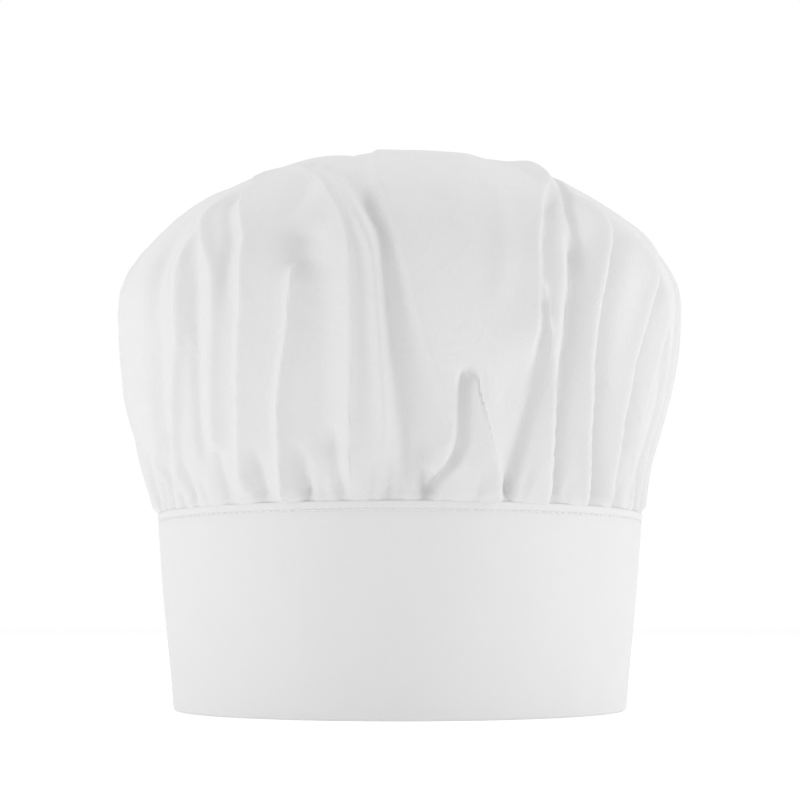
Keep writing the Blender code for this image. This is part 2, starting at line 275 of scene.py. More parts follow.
def neck_pleats():
    """The short pleats right above the band, leaning a little to either side."""
    pleats = []
    for azimuth in (196, 201, 207, 213, 219, 230, 240, 250.6, 258, 267, 275):
        lean, length = rng.uniform(-2, 2), rng.uniform(8, 20)
        pleats.append(Fold([(azimuth, 0), (azimuth + lean, length)], rng.uniform(-3.0, -1.8),
                           rng.uniform(1.4, 2.4), rng.uniform(1.6, 3), sharp=1.3, spread=1.6,
                           fade=(3, 12)))
    return pleats


def gathers():
    """The finest gathers all the way round the seam."""
    folds = []
    for azimuth in np.arange(100, 440, 6.0):
        place = azimuth + rng.uniform(-2, 2)
        lean, length = rng.uniform(-1, 1), rng.uniform(3, 12)
        folds.append(Fold([(place, 0), (place + lean, length)], -rng.uniform(0.4, 1.1),
                          rng.uniform(0.9, 1.5), sharp=1.4, spread=1.5, fade=(2, 9)))
    return folds


def other_folds():
    """Pleats round the sides and back: each rises from a valley at the neck to a ridge."""
    folds = []
    azimuth = 342.0
    while azimuth < 560:
        lean = rng.uniform(-6, 6)
        length = rng.choice([rng.uniform(18, 45), rng.uniform(60, 125)])
        depth = rng.uniform(2.6, 4.6) * min(1, 0.6 + length / 120)
        valley = [(azimuth, 0), (azimuth + lean * 0.3, length * 0.5), (azimuth + lean, length)]
        folds.append(Fold(valley, -depth, rng.uniform(1.6, 2.6), rng.uniform(2.5, 4.5),
                          sharp=rng.uniform(1.3, 1.7), spread=1.6, fade=(4, 30)))
        crest = azimuth + rng.uniform(3.0, 4.6)
        steep, gentle = rng.uniform(1.8, 2.8), rng.uniform(4, 9)
        if rng.uniform() < 0.5:
            steep, gentle = gentle, steep
        ridge = [(crest, 4), (crest + lean * 0.4, length * 0.6),
                 (crest + lean * 1.6, length * 1.2)]
        folds.append(Fold(ridge, rng.uniform(2.0, 4.2), steep, gentle,
                          sharp=rng.uniform(1.1, 1.5), spread=1.4, fade=(6, 34)))
        azimuth += rng.uniform(8.0, 12.5)
    return folds


def side_sweeps():
    """The few long, slanting creases that cross the side and back panels."""
    return [
        Fold([(4, 50), (10, 84), (24, 116), (34, 146)], 3.0, 3, 9, sharp=1.2, fade=(24, 30)),
        Fold([(1, 46), (6, 84), (19, 118)], -2.6, 6, 2.6, sharp=1.5, fade=(20, 26)),
        Fold([(48, 66), (41, 104), (24, 140)], 3.0, 8, 3, sharp=1.2, fade=(24, 30)),
        Fold([(74, 76), (71, 112), (58, 150)], 2.4, 9, 3, sharp=1.3, fade=(26, 26)),
        Fold([(112, 72), (118, 108), (136, 146)], 3.0, 3, 9, sharp=1.2, fade=(26, 28)),
        Fold([(150, 40), (144, 84), (150, 122)], 3.0, 7, 3, sharp=1.3, fade=(22, 30)),
        Fold([(153, 44), (148, 86), (154, 118)], -2.6, 3, 6, sharp=1.5, fade=(20, 26)),
        Fold([(180, 58), (174, 96), (158, 136)], 2.6, 8, 3, sharp=1.3, fade=(24, 30)),
    ]


def top_folds():
    """Long shallow folds over the crown's top."""
    folds = []
    for azimuth in np.arange(10, 370, 30):
        start = azimuth + rng.uniform(-9, 9)
        bend = rng.uniform(-25, 25)
        folds.append(Fold([(start, 120), (start + bend * 0.4, 150), (start + bend, 185)],
                          rng.choice([-1, 1]) * rng.uniform(0.8, 1.7), rng.uniform(5, 10),
                          rng.uniform(5, 12), sharp=rng.uniform(1.2, 1.8), fade=(26, 22)))
    return folds


FOLDS = FRONT_FOLDS + neck_pleats() + other_folds() + side_sweeps() + top_folds() + gathers()

BULGES = [
    # (azimuth, reach), half widths in degrees and mm, and height in mm: the stuffing's unevenness.
    ((2, 55), (38, 45), -4.0),
    ((0, 18), (38, 20), -3.2),
    ((212, 120), (26, 26), -3.0),
    ((335, 120), (30, 28), -1.0),
    ((235, 150), (22, 26), -1.5),
    ((258, 150), (16, 30), -1.6),
    ((184, 78), (26, 36), -2.0),
    ((314, 150), (9, 14), 2.4),
    ((184, 22), (32, 24), -1.2),
    ((120, 140), (40, 35), -2.0),
    ((60, 90), (30, 40), 1.5),
    ((150, 60), (30, 40), -1.5),
]


def swell(azimuth, reach):
    """The stuffed crown's slow unevenness, in mm."""
    total = np.zeros(np.broadcast(azimuth, reach).shape)
    for (middle, height), (half_turn, half_reach), lift in BULGES:
        across = (azimuth - middle + 180) % 360 - 180
        total += lift * np.exp(-(across / half_turn) ** 2 - ((reach - height) / half_reach) ** 2)
    return total


def slit_half_width(z):
    """Half the width of the slit at the back, at those heights."""
    slit_bottom = BAND_HEIGHT - HEM
    middle, half = (SLIT_TOP + slit_bottom) / 2, (SLIT_TOP - slit_bottom) / 2
    return SLIT_HALF_WIDTH * np.sqrt(np.clip(1 - ((z - middle) / half) ** 2, 0, 1))


def crown_points(rows, columns):
    """The folded crown as a grid of points that starts and ends at the slit at the back.

    Its columns stand closer together at the front. The hem hangs inside the band."""
    reach = np.linspace(-HEM, CLOTH_REACH * 0.992, rows)[:, None]
    base_radius = np.interp(reach, CURVE[0], CURVE[1])
    base_z = np.interp(reach, CURVE[0], CURVE[2]) + np.minimum(reach, 0)
    base_radius += np.minimum(reach, 0) * BAND_SLOPE
    turn = np.linspace(0, 1, columns + 1)[None, :]
    azimuth = BACK + 360 * (turn + 0.4 * np.sin(2 * np.pi * turn) / (2 * np.pi))
    half = slit_half_width(base_z)
    away = np.minimum(azimuth - BACK, BACK + 360 - azimuth)
    side = np.where(azimuth < BACK + 180, 1, -1)
    azimuth = azimuth + side * np.degrees(half / base_radius) * np.exp(-away / 7)

    lift = np.zeros(azimuth.shape)
    for fold in FOLDS:
        lift += fold.lift(azimuth, reach / MM, base_radius / MM)
    spacing = np.gradient(azimuth, axis=1)
    lift -= (lift * spacing).sum(1, keepdims=True) / 360
    lift += swell(azimuth, reach / MM)
    near_slit = np.exp(-(away / 9) ** 2) * (1 - smoothstep(SLIT_TOP, SLIT_TOP + 25 * MM, base_z))
    lift *= (1 - 0.9 * near_slit) * smoothstep(-2 * MM, 4 * MM, reach)

    radial_step = np.gradient(base_radius[:, 0])
    height_step = np.gradient(base_z[:, 0])
    length = np.hypot(radial_step, height_step)
    outward = (height_step / length)[:, None]
    upward = (-radial_step / length)[:, None]
    return around(azimuth, base_radius + lift * MM * outward, base_z + lift * MM * upward)


def settled_cloth(obj, held, frames=14, growth=0.02, pressure=1.2):
    """How far each point of a cloth moves when a simulation lets it settle from its held points."""
    group = obj.vertex_groups.new(name="held")
    group.add(np.flatnonzero(held).tolist(), 1.0, "REPLACE")
    cloth = obj.modifiers.new("cloth", "CLOTH")
    settings = cloth.settings
    settings.quality = 6
    settings.mass = 0.15
    settings.air_damping = 3
    settings.tension_stiffness = settings.compression_stiffness = 12
    settings.shear_stiffness = 4
    settings.bending_stiffness = 0.6
    settings.vertex_group_mass = "held"
    settings.pin_stiffness = 1
    settings.use_pressure = True
    settings.uniform_pressure_force = pressure
    settings.shrink_min = settings.shrink_max = -growth
    settings.effector_weights.gravity = 0
    cloth.collision_settings.use_self_collision = False
    cloth.collision_settings.use_collision = False
    cloth.point_cache.frame_start, cloth.point_cache.frame_end = 1, frames
    before = np.array([v.co for v in obj.data.vertices])
    scene = bpy.context.scene
    for number in range(1, frames + 1):
        scene.frame_set(number)
    apply_modifiers(obj)
    scene.frame_set(1)
    return np.array([v.co for v in obj.data.vertices]) - before


def spread_weights(fine, coarse):
    """Smooth weights that carry values at evenly spaced coarse points to fine ones."""
    apart = np.abs(np.linspace(0, coarse - 1, fine)[:, None] - np.arange(coarse)[None, :])
    near = (4 - 6 * apart**2 + 3 * apart**3) / 6
    weights = np.where(apart < 1, near, np.clip(2 - apart, 0, None) ** 3 / 6)
    return weights / weights.sum(1, keepdims=True)


def crown_mesh(name, points, sewn_back):
    """A mesh of the crown's grid, closed over the top. sewn_back joins its ends above the slit."""
    rows, columns = points.shape[:2]
    top = points[-1].mean(0) + [0, 0, 0.2 * MM]
    turn = np.linspace(0, 2 * np.pi, columns)[None, :]
    share = np.linspace(1, 0.01, rows)[:, None]
    cut = CUT_WIDTH / 2 * np.stack([share * np.cos(turn), share * np.sin(turn)], -1)
    faces = grid_faces(rows, columns, closed=False).tolist()
    last, pole = (rows - 1) * columns, rows * columns
    faces += [(last + i, last + i + 1, pole) for i in range(columns - 1)]
    crown = mesh_object(name, np.vstack([points.reshape(-1, 3), top]), faces,
                        np.vstack([cut.reshape(-1, 2), (0, 0)]))
    if sewn_back:
        work = bmesh.new()
        work.from_mesh(crown.data)
        bmesh.ops.remove_doubles(work, verts=work.verts, dist=0.02 * MM)
        work.to_mesh(crown.data)
        work.free()
    return crown


def settle(points, movement_limit=2 * MM):
    """Moves the fine crown as a coarse copy of it settles when it is stuffed and let go."""
    coarse = crown_points(COARSE_ROWS, COARSE_COLUMNS)
    trial = crown_mesh("trial", coarse, sewn_back=False)
    places = np.array([v.co for v in trial.data.vertices])
    beside_slit = (places[:, 1] > 0) & (np.abs(places[:, 0]) < 14 * MM)
    move = settled_cloth(trial, (places[:, 2] < BAND_HEIGHT + 0.5 * MM) | beside_slit)
    bpy.data.objects.remove(trial)
    length = np.linalg.norm(move, axis=1, keepdims=True)
    move *= movement_limit / (length + movement_limit)
    move = move[:-1].reshape(coarse.shape)
    rows = spread_weights(ROWS, COARSE_ROWS)
    columns = spread_weights(COLUMNS + 1, COARSE_COLUMNS + 1)
    return points + np.einsum("ir,rcx,jc->ijx", rows, move, columns)


def make_crown(finish):
    points = crown_points(ROWS, COLUMNS)
    points = settle(points)
    crown = crown_mesh("crown_cloth", points, sewn_back=True)
    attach(crown, "band")
    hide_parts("crown")
    crown.data.materials.append(finish)
    return crown


# -------- cloth strips round the band


def on_band(azimuth, standoff, z):
    """Points at that distance outside the band's outer face, measured along the radius."""
    return around(azimuth, band_radius(z) + standoff, z)


def thicken(obj, thickness):
    """Gives a sheet its thickness, on the side away from its normals."""
    solid = obj.modifiers.new("thickness", "SOLIDIFY")
    solid.thickness = thickness
    solid.offset = -1
    solid.use_even_offset = False
    apply_modifiers(obj)
    obj.data.shade_smooth()


def cloth_strip(name, azimuths, standoff, z, thickness):
    """A cloth bent round the band: rows of (standoff, z), from the outer top edge downwards."""
    columns = len(azimuths)
    standoff, z, azimuth = np.broadcast_arrays(standoff, z, np.asarray(azimuths)[None, :])
    points = on_band(azimuth, standoff, z)
    down = np.linalg.norm(np.diff(points, axis=0, prepend=points[:1]), axis=2).cumsum(0)
    cut = np.stack([np.radians(azimuth) * BAND_TOP_RADIUS, down], -1).reshape(-1, 2)
    faces = grid_faces(len(z), columns, closed=False)[:, ::-1]
    strip = mesh_object(name, points.reshape(-1, 3), faces, cut)
    thicken(strip, thickness)
    return strip


def folded_section(top, bottom, wall_rows=16, fold_rows=9):
    """Rows of a folded strip as (share of the wall, z): 0 is its outer face and 1 its inner.

    Rows stand closer together at the upper edge, which is rounded and has the stitches."""
    radius = WALL / 2
    near_edge = np.array([0, 0.3, 0.8, 2.0, 2.7, 3.3, 3.9, 4.6]) * MM
    wall_z = np.append(top - near_edge, np.linspace(top - 7 * MM, bottom + radius, wall_rows))
    turn = np.linspace(0, np.pi, fold_rows + 2)[1:-1]
    share = np.concatenate([np.zeros(len(wall_z)), (1 - np.cos(turn)) / 2, np.ones(len(wall_z))])
    z = np.concatenate([wall_z, bottom + radius * (1 - np.sin(turn)), wall_z[::-1]])
    share[0], share[1], share[-1], share[-2] = 0.12, 0.03, 0.88, 0.97
    return share[:, None], z[:, None]


def pressed_waves(azimuth, z, height):
    """The faint unevenness of a pressed band."""
    angle = np.radians(azimuth)
    rise = z / BAND_HEIGHT
    waves = (np.sin(4 * angle + 1.2 * rise + 0.5) + 0.7 * np.sin(7 * angle - 2.0 * rise)
             + 0.5 * np.sin(13 * angle + 3.0 * rise + 1.0) + 0.3 * np.sin(21 * angle - 5 * rise))
    return height * waves * np.sin(np.pi * np.clip(rise, 0.08, 0.92))


def groove(distance, depth=0.28 * MM, width=0.8 * MM):
    """How far a row of stitches pulls the cloth in, at a distance from it."""
    return -depth * np.exp(-(distance / width) ** 2)


def pinch(distance, reach=1.6 * MM):
    """Share of the full wall left at a distance from an end where the cloth is turned in."""
    return 0.3 + 0.7 * np.sqrt(np.clip(1 - (1 - np.clip(distance / reach, 0, 1)) ** 2, 0, 1))


def arc(degrees, radius):
    """Length of an arc."""
    return degrees * np.radians(1) * radius


def make_band(finish):
    """The band's cloth, with its ends turned in half a joint from the middle of the back."""
    joint = 0.35
    ends = np.array([0, 0.15, 0.35, 0.6, 0.9, 1.3])
    middle = np.linspace(2, 358 - 2 * joint, 300)
    azimuths = BACK + joint + np.concatenate([ends, middle, 360 - 2 * joint - ends[::-1]])
    share, z = folded_section(BAND_HEIGHT, 0)
    azimuth = azimuths[None, :]
    away = arc(np.minimum(azimuth - azimuths[0], azimuths[-1] - azimuth), RIM_RADIUS)
    half = WALL / 2
    standoff = -half + (half - WALL * share) * pinch(away)
    standoff = standoff + pressed_waves(azimuth, z, 0.22 * MM) * smoothstep(0, 12 * MM, away)
    stitched = groove(z - (BAND_HEIGHT - STITCH_INSET))
    standoff = standoff + np.where(share < 0.5, stitched, -stitched)
    band = cloth_strip("band_folded_cloth", azimuths, standoff, z, CLOTH)
    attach(band, "band")
    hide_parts("band_cloth")
    band.data.materials.append(finish)


def make_tab(finish):
    """The closing tab, in one piece with its sewn-down root, shaped with a bend between the two."""
    azimuths = np.concatenate([np.linspace(TAB_END, TAB_END + 1, 7),
                               np.linspace(TAB_END + 1.6, 89, 46),
                               np.linspace(89.4, TAB_ROOT_END, 22)])
    share, z = folded_section(BAND_HEIGHT, TAB_BOTTOM, wall_rows=34)
    azimuth = azimuths[None, :]
    rooted = smoothstep(*TAB_BEND, azimuth)
    inner = TAB_STANDOFF + (GAP - TAB_STANDOFF) * rooted
    wall = WALL + (2 * CLOTH - WALL) * rooted
    from_end = arc(azimuth - TAB_END, BAND_TOP_RADIUS)
    from_root = arc(TAB_ROOT_END - azimuth, BAND_TOP_RADIUS)
    standoff = inner + wall / 2 + (wall / 2 - wall * share) * pinch(from_end) * pinch(from_root)
    middle, height = (BAND_HEIGHT + TAB_BOTTOM) / 2, BAND_HEIGHT - TAB_BOTTOM
    corner = 2.5 * MM
    shorten = corner * (1 - np.sqrt(1 - np.clip(1 - from_end / corner, 0, 1) ** 2))
    z = middle + (z - middle) * (1 - 2 * shorten / height)
    root_height = 1 - 0.06 * smoothstep(91.5, 93.5, azimuth)
    z = TAB_BOTTOM + (z - TAB_BOTTOM) * root_height
    dents = np.zeros(standoff.shape)
    past_row = np.maximum(np.abs(azimuth - TAPE_MIDDLE) - TAPE_HALF, 0)
    for row in np.ravel(TAPE_ROWS):
        dents += groove(np.hypot(z - row, arc(past_row, BAND_TOP_RADIUS)))
    dents += groove(BAND_HEIGHT - STITCH_INSET - z) + groove(z - TAB_BOTTOM - STITCH_INSET)
    dents += groove(from_end - STITCH_INSET)
    dents *= 1 - rooted
    standoff = standoff + np.where(share < 0.5, dents, 0)
    tab = cloth_strip("closing_tab", azimuths, standoff, z, CLOTH)
    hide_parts("tab_cloth", "tab_root")
    tab.data.materials.append(finish)
    start, end = (on_band(azimuth, 2.6 * MM, BAND_HEIGHT / 2) for azimuth in (93.0, 90.4))
    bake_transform(tab)


# -------- stitches


def along(points, step):
    """The polyline's points evenly spaced by about step."""
    lengths = np.append(0, np.cumsum(np.linalg.norm(np.diff(points, axis=0), axis=1)))
    marks = np.linspace(0, lengths[-1], max(2, round(lengths[-1] / step) + 1))
    return np.stack([np.interp(marks, lengths, points[:, axis]) for axis in range(3)], -1)


def band_path(corners, standoff, closed=False):
    """A line on the band through corners of (azimuth, z), finely divided."""
    corners = list(corners) + ([corners[0]] if closed else [])
    line = []
    for (azimuth_a, z_a), (azimuth_b, z_b) in zip(corners, corners[1:]):
        share = np.linspace(0, 1, 60)
        line.append(on_band(azimuth_a + (azimuth_b - azimuth_a) * share, standoff,
                            z_a + (z_b - z_a) * share))
    return np.vstack(line)


def thread_mesh(name, centres, across, radii, sides=6):
    """Short round threads: centres is (threads, points, 3), across points sideways from each."""
    count, rings = centres.shape[:2]
    turn = np.arange(sides) * 2 * np.pi / sides
    forward = np.gradient(centres, axis=1)
    up = np.cross(across[:, None], forward)
    up /= np.linalg.norm(up, axis=2, keepdims=True)
    ring = across[:, None, None] * np.cos(turn)[:, None] + up[:, :, None] * np.sin(turn)[:, None]
    points = centres[:, :, None] + ring * np.reshape(radii, (-1, 1, 1))
    shifts = np.arange(count)[:, None, None] * rings * sides
    walls = (grid_faces(rings, sides, closed=True)[None] + shifts).reshape(-1, 4)
    first = (np.arange(sides)[::-1][None, None] + shifts).reshape(-1, sides)
    last = (np.arange(sides)[None, None] + (rings - 1) * sides + shifts).reshape(-1, sides)
    return mesh_object(name, points.reshape(-1, 3), walls.tolist() + first.tolist() + last.tolist())


def stitch_mesh(name, starts, ends, outward, radius):
    """One short plump stitch from each start to its end, lying on a surface that faces outward."""
    t = np.linspace(0, 1, 7)
    plump = radius * np.sqrt(np.sin(np.pi * np.clip(t, 0.03, 0.97)))
    across = np.cross(ends - starts, outward)
    across /= np.linalg.norm(across, axis=1, keepdims=True)
    centres = starts[:, None] + (ends - starts)[:, None] * t[None, :, None]
    centres = centres + outward[:, None] * (0.5 * radius * np.sin(np.pi * t))[None, :, None]
    return thread_mesh(name, centres, across, plump)


def stitch_line(name, line, outward, node, finish, body, length=2.5 * MM, gap=0.6 * MM):
    """A row of separate stitches along a line, in place of the CAD's one cord."""
    marks = along(line, length + gap)
    direction = np.diff(marks, axis=0)
    spare = direction * (gap / (length + gap) / 2)
    starts, ends = marks[:-1] + spare, marks[1:] - spare
    middle = (starts + ends) / 2
    row = stitch_mesh(name, starts, ends, outward(middle), THREAD_RADIUS)
    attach(row, body)
    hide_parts(node)
    row.data.materials.append(finish)
    return row


def facing_out(points):
    """Level directions away from the hat's axis."""
    normal = points * np.array([1, 1, 0])
    return normal / np.linalg.norm(normal, axis=1, keepdims=True)


def facing_in(points):
    return -facing_out(points)


def make_stitches(finish):
    """The band's, tab's and tapes' rows, each sunk a little into the cloth it holds."""
    top_row = BAND_HEIGHT - STITCH_INSET
    ring = [(BACK + 1.3 + step, top_row) for step in range(0, 358, 17)]
    ring.append((BACK + 358.7, top_row))
    stitch_line("band_top_stitches", band_path(ring, -0.1 * MM), facing_out,
                "band_topstitching", finish, "band")
    tab_face = TAB_STANDOFF + WALL - 0.1 * MM
    low, high = TAB_BOTTOM + STITCH_INSET, top_row
    free_end = TAB_END + math.degrees(STITCH_INSET / BAND_TOP_RADIUS)
    near_root = 88.2
    edge = band_path([(near_root, low), (free_end, low), (free_end, high), (near_root, high)],
                     tab_face)
    stitch_line("tab_edge_stitches", edge, facing_out, "tab_edge_stitching", finish, "tab")
    on_root = TAB_ROOT_END - 1.8
    root = band_path([(on_root, low), (on_root, high - 5 * MM)], GAP + 2 * CLOTH - 0.05 * MM)
    stitch_line("tab_root_stitches", root, facing_out, "tab_root_stitching", finish, "band")
    for name, (low, high) in zip(("upper", "lower"), TAPE_ROWS):
        left, right = TAPE_MIDDLE - TAPE_HALF, TAPE_MIDDLE + TAPE_HALF
        corners = [(left, low), (right, low), (right, high), (left, high)]
        outside = band_path(corners, tab_face, closed=True)
        stitch_line(f"loop_tape_stitches_{name}", outside, facing_out,
                    f"loop_stitching_{name}", finish, "tab")
        inside = band_path(corners, -WALL + 0.05 * MM, closed=True)
        stitch_line(f"hook_tape_stitches_{name}", inside, facing_in,
                    f"hook_stitching_{name}", finish, "band")


def make_slit(crown, cloth, finish):
    """The slit's faced edge: the facing behind it, a row of stitches round it and a bartack."""
    bottom, top = BAND_HEIGHT + 0.8 * MM, SLIT_TOP
    t = np.linspace(0.0, 1.0, 41)
    z = bottom + (top - bottom) * t
    edge = slit_half_width(z)
    outline = []
    for share in (0, *np.arange(0.2, 1.01, 0.2)):
        left = np.stack([-(edge + FACING_WIDTH * share), z + FACING_WIDTH * share * t], -1)
        outline.append(np.vstack([left, (left * [-1, 1])[::-1][1:]]))
    outline = np.array(outline)
    x, z = outline[..., 0], outline[..., 1]
    behind = 1.4 * MM
    radius = np.interp(z, CURVE[2], CURVE[1]) - behind
    points = np.stack([x, np.sqrt(radius**2 - x**2), z], -1)
    faces = grid_faces(len(outline), outline.shape[1], closed=False)
    facing = mesh_object("slit_facing_cloth", points.reshape(-1, 3), faces, outline.reshape(-1, 2))
    thicken(facing, 0.3 * MM)
    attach(facing, "band")
    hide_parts("slit_facing")
    facing.data.materials.append(cloth)

    seam = outline[2]
    radius = np.interp(seam[:, 1], CURVE[2], CURVE[1])
    line = np.stack([seam[:, 0], np.sqrt(radius**2 - seam[:, 0] ** 2), seam[:, 1]], -1)
    surface = BVHTree.FromObject(crown, bpy.context.evaluated_depsgraph_get())
    marks = along(line, 2.6 * MM)
    marks = np.array([surface.find_nearest(Vector(mark))[0] for mark in marks])
    spare = np.diff(marks, axis=0) * 0.12
    stitches = stitch_mesh("slit_stitches", marks[:-1] + spare, marks[1:] - spare,
                           facing_out(marks[1:]), 0.17 * MM)
    low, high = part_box("slit_bartack")
    turns = 16
    across = np.linspace(low.x, high.x, turns)
    middle = (low.z + high.z) / 2
    radius = np.interp(middle, CURVE[2], CURVE[1]) + 0.3 * MM
    lift = np.where(np.arange(turns) % 2, 1, -1) * 0.8 * MM
    zigzag = np.stack([across, np.full(turns, radius), middle + lift], -1)
    bar = stitch_mesh("slit_bartack_stitches", zigzag[:-1], zigzag[1:],
                      facing_out(zigzag[1:]), 0.22 * MM)
    for row in (stitches, bar):
        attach(row, "band")
        row.data.materials.append(finish)
    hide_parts("slit_bartack")


# -------- inside the band


def make_sweatband(towel):
    """The towelling strip as a closed form: its back lies on the band and its face has a pile."""
    low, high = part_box("sweatband")
    rows, columns = 40, 330
    half_turn = math.degrees(math.asin(high.x / (band_radius(high.z) - WALL - GAP)))
    azimuths = np.linspace(FRONT - half_turn, FRONT + half_turn, columns)
    z = np.linspace(low.z, high.z, rows)[:, None]
    rounded = pinch(np.minimum(z - low.z, high.z - z))
    from_end = np.minimum(azimuths - azimuths[0], azimuths[-1] - azimuths)
    ends = pinch(arc(from_end, RIM_RADIUS))
    pile = rng.uniform(-0.14, 0.14, (rows, columns)) * MM
    stitched = groove(z - (high.z - STITCH_INSET), 0.5 * MM, 1.0 * MM)
    back, face = -WALL - GAP, -WALL - GAP - 1.1 * MM * rounded * ends[None, :]
    inner = face + pile - stitched
    outer = np.broadcast_to(back, inner.shape)
    standoff = np.vstack([outer, inner[::-1]])
    heights = np.vstack([z, z[::-1]])
    azimuth = np.broadcast_to(azimuths, standoff.shape)
    points = on_band(azimuth, standoff, heights)
    starts = np.arange(2 * rows) * columns
    faces = []
    for start, after in zip(starts, np.roll(starts, -1)):
        a, b = start + np.arange(columns - 1), after + np.arange(columns - 1)
        faces += np.stack([a, a + 1, b + 1, b], -1).tolist()
    faces.append(starts[::-1].tolist())
    faces.append((starts + columns - 1).tolist())
    cut = np.stack([np.radians(azimuth) * RIM_RADIUS, np.broadcast_to(heights, azimuth.shape)], -1)
    band = mesh_object("sweatband_towelling", points.reshape(-1, 3), faces, cut.reshape(-1, 2))
    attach(band, "band")
    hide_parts("sweatband")
    band.data.materials.append(towel)


def make_sweatband_stitches(finish):
    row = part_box("sweatband")[1].z - STITCH_INSET
    ends = (FRONT - 73.5, FRONT + 73.5)
    corners = [(azimuth, row) for azimuth in np.linspace(*ends, 12)]
    line = band_path(corners, -WALL - GAP - 0.75 * MM)
    stitch_line("sweatband_stitches", line, facing_in, "sweatband_stitching", finish, "band")


def make_label(satin, finish):
    """A blank satin ribbon, folded at its lower end and sewn in by its two ends."""
    hinge = next(j for j in frame["joints"] if j["name"] == "label_hinge")
    top = np.array(hinge["pos_m"])
    sideways = -np.array(hinge["axis"])
    low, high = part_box("care_label")
    length = high.z - low.z
    inward = -top * [1, 1, 0] / np.linalg.norm(top[:2])
    down = np.array([0, 0, -1.0]) + inward * BAND_SLOPE
    down /= np.linalg.norm(down)
    half_gap, half_width = 0.26 * MM, 12.4 * MM
    wall = np.linspace(0, length - 1.0 * MM, 14)
    flat = np.ones(len(wall))
    turn = np.linspace(0, np.pi, 9)[1:-1]
    drop = np.concatenate([wall, wall[-1] + half_gap * np.sin(turn), wall[::-1]])
    out = np.concatenate([-flat, -np.cos(turn), flat]) * half_gap
    curl = 0.9 * MM * (drop / length) ** 2
    across = np.linspace(-1, 1, 26)
    cup = 0.35 * MM * across**2
    grid = (top + sideways * (across * half_width)[None, :, None]
            + down * drop[:, None, None] + inward * (out + curl)[:, None, None]
            + inward * (cup[None, :] * (drop / length)[:, None])[:, :, None])
    cut = np.stack(np.broadcast_arrays(across[None, :] * half_width, drop[:, None]), -1)
    label = mesh_object("care_label_ribbon", grid.reshape(-1, 3),
                        grid_faces(len(drop), len(across), closed=False), cut.reshape(-1, 2))
    thicken(label, 0.14 * MM)
    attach(label, "label")
    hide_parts("care_label")
    label.data.materials.append(satin)

    box_low, box_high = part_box("label_stitching")
    middle = np.array((box_low + box_high) / 2)
    ends = np.array([middle - sideways * half_width * 0.9, middle + sideways * half_width * 0.9])
    stitch_line("label_stitches", ends, facing_in, "label_stitching", finish, "band",
                length=1.8 * MM)


def make_tape(name, node, backing, side, filament, turns, spacing, radius, finish, body):
    """A tape's woven backing, with the hooks or loops that stand up from its face.

    backing is its (outer, inner) standoffs. The filaments grow from the outer face where side is
    1 and from the inner one where it is -1. filament is one hook's or loop's points (along, up)
    from its foot in mm, and turns(count) says which way each of them stands, in radians."""
    low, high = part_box(node)
    outer, inner = backing
    half = TAPE_HALF + TAPE_EDGE
    first, last = TAPE_MIDDLE - half, TAPE_MIDDLE + half
    z = np.linspace(high.z, low.z, 26)[:, None]
    strip = cloth_strip(name, np.linspace(first, last, 60), outer, z, outer - inner)
    step = math.degrees(spacing / BAND_TOP_RADIUS)
    azimuth, height = np.meshgrid(np.arange(first + 0.6, last - 0.5, step),
                                  np.arange(low.z + 1.0 * MM, high.z - 0.9 * MM, spacing))
    azimuth = azimuth.ravel() + rng.uniform(-0.15, 0.15, azimuth.size)
    feet = on_band(azimuth, outer if side > 0 else inner, height.ravel())
    up = facing_out(feet) * side
    turn = turns(len(feet))
    flat_x = np.cross(up, [0, 0, 1.0])
    lean = flat_x * np.cos(turn)[:, None] + np.array([0, 0, 1.0]) * np.sin(turn)[:, None]
    shape = np.array(filament) * MM
    centres = feet[:, None] + lean[:, None] * shape[None, :, :1] + up[:, None] * shape[None, :, 1:]
    across = np.cross(lean, up)
    pile = thread_mesh(name + "_pile", centres, across, [radius] * len(shape), sides=4)
    for piece in (strip, pile):
        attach(piece, body)
        piece.data.materials.append(finish)
    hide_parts(node)


def make_tapes(hooks, loops):
    """Hooks stand in rows that face up and down in turn. Loops stand every way."""
    hook = [(0, -0.1), (0, 0.3), (0.06, 0.52), (0.2, 0.62), (0.34, 0.55), (0.38, 0.4)]
    loop = [(-0.3, -0.1), (-0.34, 0.25), (-0.2, 0.5), (0, 0.58), (0.2, 0.5), (0.34, 0.25),
            (0.3, -0.1)]
    for row in ("upper", "lower"):
        make_tape(f"hook_strip_{row}", f"hook_tape_{row}", (0.85 * MM, 0.3 * MM), 1, hook,
                  lambda count: np.where(np.arange(count) % 2, 0.5, 1.5) * np.pi,
                  1.5 * MM, 0.08 * MM, hooks, "band")
        make_tape(f"loop_strip_{row}", f"loop_tape_{row}", (3.0 * MM, 2.45 * MM), -1, loop,
                  lambda count: rng.uniform(0, np.pi, count),
                  1.25 * MM, 0.06 * MM, loops, "tab")


# -------- materials


